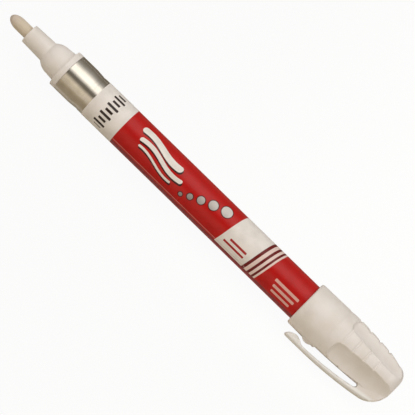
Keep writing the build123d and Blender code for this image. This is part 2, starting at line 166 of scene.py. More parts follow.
FLUTE_ROUND = 1.5
FLUTE_SIDES = 160
CLIP_FLUTE_TURN = radians(57)
CLIP_FLUTE_R = 10.0
CLIP_FLUTE_DEPTH = 1.25
CLIP_FLUTE_END_DEPTH = 1.6
BACK_FLUTE_TURN = radians(139)
BACK_FLUTE_R = 7.0
BACK_FLUTE_DEPTH = 0.65
BACK_FLUTE_END_DEPTH = 0.8
CLIP_TIP = 1.95
CLIP_REACH = 12.32
CLIP_THICK = 1.35
CLIP_STRAIGHT = 7.45
CLIP_FALL = 2.05
CLIP_ROOT_LENGTH = 6.9
CLIP_TIP_WIDTH = 4.4
CLIP_ROOT_WIDTH = 7.0
CLIP_TIP_ROUND = 1.4
CLIP_TIP_WAY = (0.12, 1)
CLIP_BAND_HALF_TURN = radians(75)
CLIP_BAND_STEPS = 60
SLOT_LENGTH = 29.2
SLOT_END_GAP = 1.85
PAD_START = 0.45
PAD_LENGTH = 6.3
PAD_RISE = 1.25
PAD_FRONT_WAY = (-0.55, 1)
BOSS_U = 8.95
BOSS_HALF_LENGTH = 2.55
BOSS_RISE = 0.8
BOSS_WIDTH = 3.6
BOSS_SINK = 0.7
CAP_VOXEL = 0.13
CAP_KEPT_FACES = 0.27
SMOOTHING = 0.5

# The clip's edges get more rounds of smoothing, where it stands this far off the recessed surface
CLIP_CLEAR = 1.55
CLIP_ROUNDING = 44

# Liner in the cap. With the cap on the nose, its mouth is CAPPED_MOUTH behind the tube's rim
LINER_NECK_FIT = 0.07
LINER_LEAD = 0.6
LINER_DRAFT = 1.0
LINER_END_WALL = 0.9
LINER_EDGE = 0.12
CAPPED_MOUTH = 11.2

# The photograph's frame: where the nib's tip and the cap's end lie in it, in pixels
PHOTO_SIDE = 415
TIP_PIXEL = Vector((11.2, 14.8))
END_PIXEL = Vector((394.1, 388.7))
SENSOR_WIDTH = 36.0
CAMERA_DISTANCE = 1.1
SQUARE_ON_X = 104.5

# Printed film: places along the axis, and distances round the film from its middle line
BAND_END_X = 25.6
PANEL_X = 74.04
STRIPE_EDGES_X = (86.4, 87.5, 88.8, 89.75, 90.75, 91.55)
FIELD_X = 92.25
SLANT = 0.185
SEAM_TURN = radians(58.5)
BACK_EDGE = -20.5


def clip_roll():
    """Turn of the cap about the axis at which the clip's edge and the cap both touch the table."""
    widening = (CLIP_ROOT_WIDTH - CLIP_TIP_WIDTH) / (CAP_LENGTH - CLIP_TIP)
    half_width = (CLIP_TIP_WIDTH + widening * CLIP_STRAIGHT) / 2
    return asin(half_width / CLIP_REACH) + acos((CAP_R + SKIRT_DRAFT) / CLIP_REACH)


# Outlines: points (x, r) in a plane through the axis

def bend(start, way, end, steps=ARC_STEPS):
    """Points of the arc that leaves start along way and reaches end, without start itself."""
    start, way, end = Vector(start), Vector(way).normalized(), Vector(end)
    chord = end - start
    left = Vector((-way.y, way.x))
    rise = chord.dot(left)
    if abs(rise) < STRAIGHT_RISE:
        return [end]
    centre = start + left * (chord.length_squared / (2 * rise))
    sweep = 2 * atan2(rise, chord.dot(way))
    arm = start - centre
    return [centre + Matrix.Rotation(sweep * i / steps, 2) @ arm for i in range(1, steps + 1)]


def last_way(points):
    """The way an arc's points are heading at its end."""
    before, middle, after = points[-3:]
    return (after - middle) * 1.5 - (middle - before) * 0.5


def bow(start, end, rise):
    """Points of a shallow arc between two points, its middle raised on the left of the way it runs."""
    start, end = Vector(start), Vector(end)
    chord = end - start
    way = Matrix.Rotation(2 * atan(2 * rise / chord.length), 2) @ chord
    return bend(start, way, end)


def corner(x, r, radius):
    """Quarter round of a closed end, from (x, r) inwards, without its first point."""
    return bend((x, r), (1, 0), (x + radius, r - radius))


# Modelling steps

def pick(piece):
    """Select this piece alone, and make it active."""
    bpy.ops.object.select_all(action="DESELECT")
    piece.select_set(True)
    bpy.context.view_layer.objects.active = piece


def settle(piece):
    """Put a piece's place, turn and scale into its mesh."""
    pick(piece)
    bpy.ops.object.transform_apply(location=True, rotation=True, scale=True)


def pull(way):
    """In edit mode, extrude what is selected by a way in metres."""
    bpy.ops.mesh.extrude_region_move(TRANSFORM_OT_translate={"value": way})


def select_points(piece, test):
    """In edit mode, select the points whose place passes the test."""
    bpy.ops.mesh.select_all(action="DESELECT")
    mesh = bmesh.from_edit_mesh(piece.data)
    for point in mesh.verts:
        point.select = test(point.co / MM)
    mesh.select_flush(True)
    bmesh.update_edit_mesh(piece.data)


def close_up():
    """Merge what lies in one place, turn every face outwards and leave edit mode."""
    bpy.ops.mesh.select_all(action="SELECT")
    bpy.ops.mesh.remove_doubles(threshold=WELD * MM)
    bpy.ops.mesh.normals_make_consistent(inside=False)
    bpy.ops.object.mode_set(mode="OBJECT")


def apply(piece, kind, **settings):
    """Give a piece one modifier and apply it."""
    pick(piece)
    modifier = piece.modifiers.new(kind.lower(), kind)
    for key, value in settings.items():
        setattr(modifier, key, value)
    bpy.ops.object.modifier_apply(modifier=modifier.name)


def smooth(piece):
    """Shade a piece smooth, apart from its sharp edges."""
    pick(piece)
    bpy.ops.object.shade_smooth_by_angle(angle=SMOOTH_TURN)


def soften(piece, width):
    """Round the sharp edges of a piece, and weld what the rounding leaves with no width."""
    apply(piece, "BEVEL", width=width * MM, segments=BEVEL_STEPS, limit_method="ANGLE",
          angle_limit=BEVEL_TURN)
    apply(piece, "WELD", merge_threshold=WELD * MM)


def turn(name, outline, sides=SIDES):
    """Turn an outline of (x, r) points about the axis, ring by ring. A radius of 0 closes an end."""
    rings = [(x, r) for x, r in outline if r > WELD]
    x, r = rings[0]
    bpy.ops.object.select_all(action="DESELECT")
    bpy.ops.mesh.primitive_circle_add(vertices=sides, radius=r * MM, location=(x * MM, 0, 0),
                                      rotation=(0, pi / 2, 0))
    piece = bpy.context.object
    piece.name = name
    settle(piece)
    bpy.ops.object.mode_set(mode="EDIT")
    for next_x, next_r in rings[1:]:
        pull(((next_x - x) * MM, 0, 0))
        bpy.ops.transform.resize(value=(1, next_r / r, next_r / r), center_override=(next_x * MM, 0, 0))
        x, r = next_x, next_r
    for end, ring in ((outline[-1], rings[-1]), (outline[0], rings[0])):
        if end[1] <= WELD:
            select_points(piece, lambda p: abs(p.x - ring[0]) < WELD and abs(p.yz.length - ring[1]) < WELD)
            pull(((end[0] - ring[0]) * MM, 0, 0))
            bpy.ops.mesh.merge(type="CENTER")
    close_up()
    return piece


def draw(name, points):
    """A flat face, drawn point by point from a single point. It stays in edit mode."""
    bpy.ops.object.select_all(action="DESELECT")
    bpy.ops.mesh.primitive_plane_add(size=MM, location=points[0] * MM)
    piece = bpy.context.object
    piece.name = name
    settle(piece)
    bpy.ops.object.mode_set(mode="EDIT")
    bpy.ops.mesh.merge(type="CENTER")
    for here, there in zip(points, points[1:]):
        pull((there - here) * MM)
    bpy.ops.mesh.select_all(action="SELECT")
    bpy.ops.mesh.edge_face_add()
    return piece


def clip_side(u, r, way):
    """A point of the cap before it is rolled: u behind the mouth, r from the axis, turned from the clip."""
    return Vector((MOUTH_X + u, r * sin(way), -r * cos(way)))


def grow(piece, factor):
    """Scale a piece about the origin and keep that in its mesh."""
    piece.scale = (factor, factor, factor)
    settle(piece)


def cut(piece, tool, operation="DIFFERENCE"):
    """Take a tool's shape out of a piece, or add it, at a size where the solver's tolerance is fine."""
    for shape in (piece, tool):
        grow(shape, 1 / MM)
    apply(piece, "BOOLEAN", object=tool, operation=operation, solver="MANIFOLD")
    bpy.data.objects.remove(tool)
    grow(piece, MM)


# The pieces

def make_nib():
    """A fibre rod with a bullet tip and a bevelled rear end."""
    shoulder = NIB_TIP_X + NIB_BULLET
    quarter = [i * pi / 2 / (2 * ARC_STEPS) for i in range(2 * ARC_STEPS + 1)]
    outline = [(shoulder - NIB_BULLET * cos(a), NIB_R * sin(a)) for a in quarter]
    outline += [(NIB_REAR_X - NIB_REAR_EDGE, NIB_R), (NIB_REAR_X, NIB_R - NIB_REAR_EDGE), (NIB_REAR_X, 0)]
    nib = turn("fibre_nib", outline)
    smooth(nib)
    return nib


def crimp(r):
    """The groove rolled into the tube, as a line of points at this radius."""
    start = (CRIMP_X - CRIMP_WIDTH / 2, r)
    end = (CRIMP_X + CRIMP_WIDTH / 2, r)
    return [start] + bow(start, end, -CRIMP_DEPTH)


def make_nose():
    """Neck, domed shoulder, flange and the plug in the tube, with the nib's bore and the valve's socket."""
    dome_x = NECK_X + NECK_LENGTH
    shoulder_x = dome_x + DOME_LENGTH
    dome = bend((shoulder_x, SHOULDER_FRONT_R), (-1, 0), (dome_x, NECK_REAR_R), 2 * ARC_STEPS)
    land_plug_r = LAND_R - TUBE_WALL - PLUG_FIT
    plug_r = TUBE_R - TUBE_WALL - PLUG_FIT
    room_x = NIB_REAR_X - PAINT_ROOM_LENGTH
    outline = [(NECK_X, NIB_BORE_R), (NECK_X, NECK_FRONT_R)]
    outline += reversed(dome)
    outline += [(shoulder_x, SHOULDER_FRONT_R), (-FLANGE_LENGTH, SHOULDER_REAR_R), (-FLANGE_LENGTH, LAND_R),
                (RIM_X, LAND_R), (RIM_X, land_plug_r), (LAND_LENGTH, land_plug_r),
                (LAND_LENGTH + LAND_TAPER, plug_r)]
    outline += crimp(plug_r)
    outline += [(PLUG_END_X, plug_r), (PLUG_END_X, HOUSING_SOCKET_R), (HOUSING_SOCKET_X, HOUSING_SOCKET_R),
                (HOUSING_SOCKET_X, PAINT_ROOM_R), (room_x, PAINT_ROOM_R), (room_x, NIB_BORE_R),
                (NECK_X, NIB_BORE_R)]
    nose = turn("moulded_nose", outline)
    soften(nose, NOSE_EDGE)
    smooth(nose)
    return nose


def tube_line(offset, end_x):
    """The tube's wall in section, offset inwards, from the rim to the closed end."""
    land_r = LAND_R - offset
    tube_r = TUBE_R - offset
    round_r = TUBE_END_RADIUS - offset
    line = [(RIM_X, land_r), (LAND_LENGTH, land_r), (LAND_LENGTH + LAND_TAPER, tube_r)]
    line += crimp(tube_r)
    line += [(end_x - round_r, tube_r)]
    line += corner(end_x - round_r, tube_r, round_r)
    return line + [(end_x, 0)]


def make_tube():
    """The tube with its wall, its land for the cap and its closed end."""
    outside = tube_line(0, TUBE_END_X)
    inside = tube_line(TUBE_WALL, TUBE_END_X - TUBE_END_WALL)
    tube = turn("drawn_tube", list(reversed(outside)) + inside)
    soften(tube, TUBE_EDGE)
    smooth(tube)
    return tube


def make_film():
    """The film's ring, with the lap of its two ends a little proud along one line."""
    inner_r = FILM_R - FILM_THICK
    wall = [(FILM_X, inner_r), (FILM_X, FILM_R), (FILM_END_X, FILM_R), (FILM_END_X, inner_r)]
    film = turn("printed_film", wall + wall[:1], 2 * SIDES)
    lap = FILM_LAP_WIDTH / FILM_R
    middle = (inner_r + FILM_R) / 2

    def on_lap(p):
        beyond = SEAM_TURN - (clip_roll() - atan2(p.z, -p.y))
        return p.yz.length > middle and 0 <= beyond <= lap

    pick(film)
    bpy.ops.object.mode_set(mode="EDIT")
    select_points(film, on_lap)
    swell = (FILM_R + FILM_LAP) / FILM_R
    bpy.ops.transform.resize(value=(1, swell, swell), center_override=(0, 0, 0))
    bpy.ops.object.mode_set(mode="OBJECT")
    smooth(film)
    return film


def groove_r(n):
    """Radius of the grip's notches, n ring pitches behind its start."""
    return CAP_R + GRIP_STEP - GRIP_FALL * n * (n + GRIP_SLOPE)


def core_r(u):
    """Radius of the recessed surface u behind the mouth."""
    return groove_r((u - GRIP_U) / GRIP_PITCH) - RECESS_DEPTH


def cap_body():
    """Skirt, crowned grip rings with notches between them and rounded end, turned as one solid."""
    outline = [(0, 0), (0, CAP_R - MOUTH_ROUND)]
    outline += bend((0, CAP_R - MOUTH_ROUND), (0, 1), (MOUTH_ROUND, CAP_R), SMALL_ROUND_STEPS)
    ring_start = (GRIP_U, groove_r(0))
    outline += [(GRIP_U - SKIRT_ROUND, CAP_R + SKIRT_DRAFT), ring_start]
    for i in range(1, GRIP_RINGS + 1):
        notch_u = GRIP_U + i * GRIP_PITCH
        notch_r = groove_r(i) - (REAR_NOTCH_CUT if i > 1 else 0)
        top_r = groove_r(i) + NOTCH_DEPTH
        outline += bow(ring_start, (notch_u - NOTCH_HALF_WIDTH, top_r), GRIP_CROWN)
        ring_start = (notch_u + NOTCH_HALF_WIDTH, top_r)
        outline += [(notch_u, notch_r), ring_start]
    outline += bow(ring_start, (CORNER_U, CORNER_R), GRIP_CROWN)
    outline += corner(CORNER_U, CORNER_R, END_CORNER) + [(CAP_LENGTH, 0)]
    return turn("moulded_cap", [(MOUTH_X + u, r) for u, r in outline])


def recess_tool():
    """What is taken off under the clip, with a slanted front edge."""
    round_r = END_CORNER - RECESS_DEPTH
    far_r = 2 * CAP_R
    behind = CAP_LENGTH + END_CORNER
    low_end = (CORNER_U, CORNER_R - RECESS_DEPTH)
    outline = [(CORNER_U * i / ARC_STEPS, core_r(CORNER_U * i / ARC_STEPS)) for i in range(ARC_STEPS)]
    outline += [low_end] + corner(*low_end, round_r)
    outline += [(behind, END_FLAT_R), (behind, far_r), (0, far_r)]
    tool = draw("recess_tool", [clip_side(u, r, -RECESS_HALF_TURN) for u, r in outline])
    bpy.ops.mesh.spin(steps=RECESS_STEPS, angle=2 * RECESS_HALF_TURN, center=(0, 0, 0), axis=(-1, 0, 0))
    close_up()
    bpy.ops.object.mode_set(mode="EDIT")
    bpy.ops.mesh.select_all(action="SELECT")
    bpy.ops.mesh.bisect(plane_co=((MOUTH_X + GRIP_U + RECESS_SIDE_START) * MM, 0, 0),
                        plane_no=(1, 0, -RECESS_SLANT), use_fill=True, clear_inner=True)
    close_up()
    return tool


def flute_tool(way, r, depth, end_depth):
    """A straight finger flute along the grip with a rounded front, turned this way from the clip."""
    foot = Vector((GRIP_U + FLUTE_START, groove_r(FLUTE_START / GRIP_PITCH) - depth))
    run = Vector((CORNER_U, CORNER_R - end_depth)) - foot
    start = foot + r * Vector((-run.y, run.x)).normalized()
    outline = [(0, 0), (0, r - FLUTE_ROUND)]
    outline += bend((0, r - FLUTE_ROUND), (0, 1), (FLUTE_ROUND, r), ROUND_STEPS)
    outline += [(2 * run.length, r), (2 * run.length, 0)]
    tool = turn("flute_tool", outline, FLUTE_SIDES)
    lean = Matrix.Rotation(atan2(run.y, run.x), 4, "Y")
    out = Matrix.Translation((0, 0, -start.y * MM))
    back = Matrix.Translation(((MOUTH_X + start.x) * MM, 0, 0))
    tool.matrix_world = back @ Matrix.Rotation(way, 4, "X") @ out @ lean
    settle(tool)
    return tool


def clip_outline():
    """The clip's side view: paddle tip with a pad under it, a long bow, and the root on the cap's end."""
    tip = CLIP_TIP
    inner = CLIP_REACH - CLIP_THICK
    straight = (tip + CLIP_STRAIGHT, CLIP_REACH)
    root = (CAP_LENGTH - CLIP_ROOT_LENGTH, CLIP_REACH - CLIP_FALL)
    slot_u = tip + SLOT_LENGTH
    half_gap = SLOT_END_GAP / 2
    slot_end = Vector((slot_u, core_r(slot_u) + half_gap))
    slot_foot = slot_end - Vector((half_gap, half_gap))
    slot_top = slot_end + Vector((-half_gap, half_gap))
    pad = (tip + PAD_START, inner)
    pad_end = (tip + PAD_START + PAD_LENGTH, inner)
    nose_r = CLIP_THICK / 2
    middle = Vector((tip, inner + nose_r))
    points = [Vector(pad)]
    points += bend(pad, PAD_FRONT_WAY, middle, SMALL_ROUND_STEPS)
    points += bend(middle, CLIP_TIP_WAY, (tip + nose_r, CLIP_REACH), SMALL_ROUND_STEPS)
    outer = bend(straight, (1, 0), root, 2 * ARC_STEPS)
    points += [Vector(straight)] + outer
    points += bend(root, last_way(outer), (CAP_LENGTH, END_FLAT_R), 2 * ARC_STEPS)
    points += [Vector((CAP_LENGTH, END_FLAT_R / 2)), Vector((slot_foot.x, END_FLAT_R / 2)), slot_foot]
    points += bend(slot_foot, (1, 0), slot_end, ROUND_STEPS) + bend(slot_end, (0, 1), slot_top, ROUND_STEPS)
    inner_line = bend(pad_end, (1, 0), slot_top, 2 * ARC_STEPS)
    points += list(reversed(inner_line))[1:] + [Vector(pad_end)]
    points += bow(pad_end, pad, PAD_RISE)[:-1]
    return points


def clip_tool():
    """The clip as a crowned band round the cap, cut to a tapered plan with a rounded tip."""
    turned = 2 * CLIP_BAND_HALF_TURN
    band = draw("clip_band", [clip_side(u, r, -CLIP_BAND_HALF_TURN) for u, r in clip_outline()])
    bpy.ops.mesh.spin(steps=CLIP_BAND_STEPS, angle=turned, center=(0, 0, 0), axis=(-1, 0, 0))
    close_up()
    tip_half = CLIP_TIP_WIDTH / 2
    root_half = CLIP_ROOT_WIDTH / 2
    side = [Vector((CLIP_TIP, tip_half - CLIP_TIP_ROUND))]
    side += bend(side[0], (0, 1), (CLIP_TIP + CLIP_TIP_ROUND, tip_half), ROUND_STEPS)
    side += [Vector((CAP_LENGTH + CLIP_TIP, root_half))]
    plan = side + [Vector((u, -y)) for u, y in reversed(side)]
    prism = draw("clip_plan", [Vector((MOUTH_X + u, y, 0)) for u, y in plan])
    pull((0, 0, -2 * CLIP_REACH * MM))
    close_up()
    cut(band, prism, "INTERSECT")
    return band


def boss_tool():
    """Rounded rib on the skirt that faces the clip's pad."""
    base_r = CAP_R - BOSS_SINK
    ends = ((BOSS_U - BOSS_HALF_LENGTH, base_r), (BOSS_U + BOSS_HALF_LENGTH, base_r))
    outline = [Vector(ends[0])] + bow(ends[0], ends[1], CAP_R + BOSS_RISE - base_r)
    half = BOSS_WIDTH / 2
    boss = draw("boss_tool", [Vector((MOUTH_X + u, -half, -r)) for u, r in outline])
    pull((0, BOSS_WIDTH * MM, 0))
    close_up()
    return boss


def cap_room():
    """The hollow of the cap: mouth, snap bead, bore, shoulder and the liner's socket."""
    lip_r = CAP_BORE_R + CAP_LIP
    bead_0 = (BEAD_U - BEAD_WIDTH / 2, CAP_BORE_R)
    bead_1 = (BEAD_U + BEAD_WIDTH / 2, CAP_BORE_R)
    socket_end_u = LINER_END_X - MOUTH_X
    outline = [(-CAP_LIP, 0), (-CAP_LIP, lip_r), (0, lip_r), (CAP_LIP, CAP_BORE_R), bead_0]
    outline += bow(bead_0, bead_1, BEAD_R - CAP_BORE_R)
    outline += [(BORE_DEPTH, CAP_BORE_R), (SOCKET_U, SOCKET_R), (socket_end_u - SOCKET_CHAMFER, SOCKET_END_R),
                (socket_end_u, SOCKET_END_R - SOCKET_CHAMFER / 2), (socket_end_u, 0)]
    return turn("room_tool", [(MOUTH_X + u, r) for u, r in outline])


def make_cap():
    """The cap as one moulding: every edge is melted to a small round by remeshing the whole."""
    cap = cap_body()
    cut(cap, recess_tool())
    for way, *sizes in ((CLIP_FLUTE_TURN, CLIP_FLUTE_R, CLIP_FLUTE_DEPTH, CLIP_FLUTE_END_DEPTH),
                        (BACK_FLUTE_TURN, BACK_FLUTE_R, BACK_FLUTE_DEPTH, BACK_FLUTE_END_DEPTH)):
        cut(cap, flute_tool(way, *sizes))
        cut(cap, flute_tool(-way, *sizes))
    cut(cap, clip_tool(), "UNION")
    cut(cap, boss_tool(), "UNION")
    cut(cap, cap_room())
    apply(cap, "REMESH", mode="VOXEL", voxel_size=CAP_VOXEL * MM, use_smooth_shade=True)
    apply(cap, "SMOOTH", factor=SMOOTHING, iterations=1)
    bpy.ops.object.mode_set(mode="EDIT")
    select_points(cap, lambda p: p.yz.length > core_r(p.x - MOUTH_X) + CLIP_CLEAR)
    bpy.ops.mesh.vertices_smooth(factor=SMOOTHING, repeat=CLIP_ROUNDING)
    bpy.ops.object.mode_set(mode="OBJECT")
    apply(cap, "DECIMATE", ratio=CAP_KEPT_FACES)
    cap.rotation_euler = (-clip_roll(), 0, 0)
    settle(cap)
    bpy.ops.object.shade_smooth()
    return cap


def make_liner():
    """The soft liner that seals on the nose's neck when the cap is on it, with room for the nib."""
    end_r = LINER_R - LINER_DRAFT
    neck_front_x = MOUTH_X + CAPPED_MOUTH - NECK_X
    rear_r = NECK_REAR_R + LINER_NECK_FIT
    front_r = NECK_FRONT_R + LINER_NECK_FIT
    room_r = front_r - LINER_LEAD
    room_end_x = LINER_END_X - LINER_END_WALL
    outline = [(room_end_x, 0), (room_end_x, room_r), (neck_front_x + LINER_LEAD, room_r),
               (neck_front_x, front_r), (LINER_X + LINER_LEAD, rear_r), (LINER_X, rear_r + LINER_LEAD),
               (LINER_X, LINER_R), (LINER_END_X - SOCKET_CHAMFER, end_r),
               (LINER_END_X, end_r - SOCKET_CHAMFER / 2), (LINER_END_X, 0)]
    liner = turn("cap_liner", outline)
    soften(liner, LINER_EDGE)
    smooth(liner)
    return liner


def make_spring():
    """A merged copy of the frame's wound spring; in the marker, this spring shortens when the nib is pressed.
    """
    spring = bpy.data.objects.new("wound_spring", nodes["valve_spring"].data.copy())
    bpy.context.scene.collection.objects.link(spring)
    pick(spring)
    bpy.ops.object.mode_set(mode="EDIT")
    close_up()
    smooth(spring)
    return spring


# Shader building

def place(tree, kind, inputs=None, **settings):
    """Add a shader node. Each input is a value or another node's output, by name or number."""
    made = tree.nodes.new(kind)
    for key, value in settings.items():
        setattr(made, key, value)
    for key, value in (inputs or {}).items():
        if isinstance(value, bpy.types.NodeSocket):
            tree.links.new(value, made.inputs[key])
        else:
            made.inputs[key].default_value = value
    return made


def calc(tree, operation, *values):
    """One step of arithmetic on numbers and outputs."""
    return place(tree, "ShaderNodeMath", dict(enumerate(values)), operation=operation).outputs[0]


def coordinates(tree, kind="Object"):
    """The position on a piece, or another of the coordinates."""
    return place(tree, "ShaderNodeTexCoord").outputs[kind]


def split(tree, vector):
    """The three parts of a vector, by their axes."""
    return place(tree, "ShaderNodeSeparateXYZ", {0: vector}).outputs


def step(tree, value, low, high, from_share=0.0, to_share=1.0):
    """A soft step of a value, from one share at low to another at high."""
    ends = {"Value": value, "From Min": low, "From Max": high, "To Min": from_share, "To Max": to_share}
    return place(tree, "ShaderNodeMapRange", ends, interpolation_type="SMOOTHSTEP").outputs[0]


def past(tree, value, edge, blur):
    """A share that goes from 0 to 1 where a value passes a printed edge."""
    return step(tree, value, edge - blur, edge + blur)


def mix(tree, share, first, second, blend_type="MIX"):
    """Mix two colours."""
    ends = {0: share, 6: first, 7: second}
    return place(tree, "ShaderNodeMix", ends, data_type="RGBA", blend_type=blend_type).outputs[2]


def noise(tree, where, size, stretch=(1, 1, 1), detail=3.0):
    """Cloudy noise with features of a size in millimetres, drawn out along an axis by stretch."""
    scales = [1 / (size * MM * s) for s in stretch]
    scaled = place(tree, "ShaderNodeVectorMath", {0: where, 1: scales}, operation="MULTIPLY").outputs[0]
    settings = {"Vector": scaled, "Scale": 1.0, "Detail": detail}
    return place(tree, "ShaderNodeTexNoise", settings).outputs[0]


def color(*screen):
    """A colour given as it shows on screen, in steps of 255, as linear values by the usual screen curve."""
    linear = [(c / 255 / 12.92 if c < 11 else ((c / 255 + 0.055) / 1.055) ** 2.4) for c in screen]
    return (*linear, 1)


def new_group(name, inputs, outputs):
    """A node group with its named inputs, each with a kind and a usual value, and its named outputs."""
    tree = bpy.data.node_groups.new(name, "ShaderNodeTree")
    for label, (kind, usual) in inputs.items():
        socket = tree.interface.new_socket(label, in_out="INPUT", socket_type=kind)
        if usual is not None:
            socket.default_value = usual
    for label, kind in outputs.items():
        tree.interface.new_socket(label, in_out="OUTPUT", socket_type=kind)
    return tree, tree.nodes.new("NodeGroupInput").outputs, tree.nodes.new("NodeGroupOutput").inputs


FLOAT = "NodeSocketFloat"
VECTOR = "NodeSocketVector"
POSITION = {"Position": (VECTOR, None)}


def round_coordinates():
    """Distance along the axis and round it, in millimetres, with the join on the film's lap."""
    tree, given, out = new_group("round_coordinates", {**POSITION, "Radius": (FLOAT, FILM_R)},
                                 {"Along": FLOAT, "Around": FLOAT})
    parts = split(tree, given["Position"])
    forward = calc(tree, "MULTIPLY", parts["Y"], -1.0)
    height = calc(tree, "ARCTAN2", parts["Z"], forward)
    way = calc(tree, "SUBTRACT", clip_roll(), height)
    wrapped = calc(tree, "WRAP", way, SEAM_TURN, SEAM_TURN - 2 * pi)
    tree.links.new(calc(tree, "DIVIDE", parts["X"], MM), out["Along"])
    tree.links.new(calc(tree, "MULTIPLY", wrapped, given["Radius"]), out["Around"])
    return tree


def moulded_grain():
    """Faint clouds in the colour and the fine spark-eroded grain of a mould."""
    cloud_size, grain_size = 6.0, 0.28
    tree, given, out = new_group("moulded_grain", POSITION, {"Cloud": FLOAT, "Grain": FLOAT})
    tree.links.new(noise(tree, given["Position"], cloud_size), out["Cloud"])
    tree.links.new(noise(tree, given["Position"], grain_size, detail=2.0), out["Grain"])
    return tree


def handling_marks():
    """Smudges and short rubbed lines from use."""
    smudge_size, smudge_range, rubbed_range = 9.0, (0.52, 0.78), (0.42, 0.6)
    scratch_size, scratch_stretch, scratch_range = 0.5, (9.0, 1.0, 1.0), (0.66, 0.74)
    tree, given, out = new_group("handling_marks", {**POSITION, "Amount": (FLOAT, 1.0)},
                                 {"Smudge": FLOAT, "Scratch": FLOAT})
    cloud = noise(tree, given["Position"], smudge_size, detail=5.0)
    smudge = step(tree, cloud, *smudge_range)
    lines = noise(tree, given["Position"], scratch_size, scratch_stretch, 2.0)
    scratch = calc(tree, "MULTIPLY", step(tree, lines, *scratch_range), step(tree, cloud, *rubbed_range))
    tree.links.new(calc(tree, "MULTIPLY", smudge, given["Amount"]), out["Smudge"])
    tree.links.new(calc(tree, "MULTIPLY", scratch, given["Amount"]), out["Scratch"])
    return tree


def clip_painted_light_and_shade():
    """The cap's clip: where it is thin and stands off the cap, painted light makes it paler than the thick
    cap, and painted shade darkens its outer edge.
    """
    off_the_cap, painted_shade_depth = (1.0, 2.0), (0.4, 1.1)
    tree, given, out = new_group("clip_painted_light_and_shade", POSITION, {"Painted Light": FLOAT, "Painted Shade Edge": FLOAT})
    parts = split(tree, given["Position"])
    behind = calc(tree, "SUBTRACT", calc(tree, "DIVIDE", parts["X"], MM), MOUTH_X)
    behind = calc(tree, "MAXIMUM", behind, 0.0)
    across = [calc(tree, "POWER", calc(tree, "DIVIDE", parts[axis], MM), 2.0) for axis in "YZ"]
    r = calc(tree, "SQRT", calc(tree, "ADD", *across))
    rings = calc(tree, "DIVIDE", calc(tree, "SUBTRACT", behind, GRIP_U), GRIP_PITCH)
    fall = calc(tree, "MULTIPLY", rings, calc(tree, "ADD", rings, GRIP_SLOPE))
    core = calc(tree, "MULTIPLY_ADD", fall, -GRIP_FALL, core_r(GRIP_U))
    # Painted light: the clip is paler where it stands off the cap
    tree.links.new(step(tree, calc(tree, "SUBTRACT", r, core), *off_the_cap), out["Painted Light"])
    bow_length = CAP_LENGTH - CLIP_ROOT_LENGTH - CLIP_TIP - CLIP_STRAIGHT
    bowed = calc(tree, "SUBTRACT", behind, CLIP_TIP + CLIP_STRAIGHT)
    bowed = calc(tree, "DIVIDE", calc(tree, "MAXIMUM", bowed, 0.0), bow_length)
    outer = calc(tree, "MULTIPLY_ADD", calc(tree, "POWER", bowed, 2.0), -CLIP_FALL, CLIP_REACH)
    depth = calc(tree, "SUBTRACT", outer, r)
    # Painted shade: the clip's outer edge is darker
    tree.links.new(step(tree, depth, *painted_shade_depth, 1.0, 0.0), out["Painted Shade Edge"])
    return tree


def print_mark():
    """One printed mark: a bar with rounded corners, which a wave may bend along its length."""
    blur = 0.04
    inputs = {"Along": 0.0, "Around": 0.0, "Middle Along": 0.0, "Middle Around": 0.0, "Half Length": 1.0,
              "Half Width": 1.0, "Corner": 0.1, "Wave": 0.0, "Wave Length": 10.0}
    tree, given, out = new_group("print_mark", {key: (FLOAT, usual) for key, usual in inputs.items()},
                                 {"Ink": FLOAT})
    along = calc(tree, "SUBTRACT", given["Along"], given["Middle Along"])
    phase = calc(tree, "MULTIPLY", calc(tree, "DIVIDE", along, given["Wave Length"]), 2 * pi)
    sway = calc(tree, "MULTIPLY", calc(tree, "SINE", phase), given["Wave"])
    around = calc(tree, "SUBTRACT", calc(tree, "SUBTRACT", given["Around"], given["Middle Around"]), sway)
    beyond = []
    for way, half in ((along, "Half Length"), (around, "Half Width")):
        flat = calc(tree, "SUBTRACT", given[half], given["Corner"])
        beyond.append(calc(tree, "SUBTRACT", calc(tree, "ABSOLUTE", way), flat))
    squares = [calc(tree, "POWER", calc(tree, "MAXIMUM", b, 0.0), 2.0) for b in beyond]
    outside = calc(tree, "SQRT", calc(tree, "ADD", *squares))
    inside = calc(tree, "MINIMUM", calc(tree, "MAXIMUM", *beyond), 0.0)
    edge = calc(tree, "SUBTRACT", calc(tree, "ADD", outside, inside), given["Corner"])
    tree.links.new(step(tree, edge, -blur, blur, 1.0, 0.0), out["Ink"])
    return tree


def use(tree, group, inputs):
    """Place a node group in a material and give its outputs."""
    return place(tree, "ShaderNodeGroup", inputs, node_tree=group).outputs


def new_material(name):
    """A material with its tree, its shader's sockets and the position it reads."""
    material = bpy.data.materials.new(name)
    material.use_nodes = True
    tree = material.node_tree
    shader = tree.nodes["Principled BSDF"].inputs
    return material, tree, shader, coordinates(tree)


def bump(tree, shader, height, depth):
    """Raise the surface by a height map, with a depth in millimetres."""
    made = place(tree, "ShaderNodeBump", {"Height": height, "Distance": depth * MM, "Strength": 1.0})
    tree.links.new(made.outputs[0], shader["Normal"])


ROUND = round_coordinates()
GRAIN = moulded_grain()
MARKS = handling_marks()
MARK = print_mark()
CLIP = clip_painted_light_and_shade()


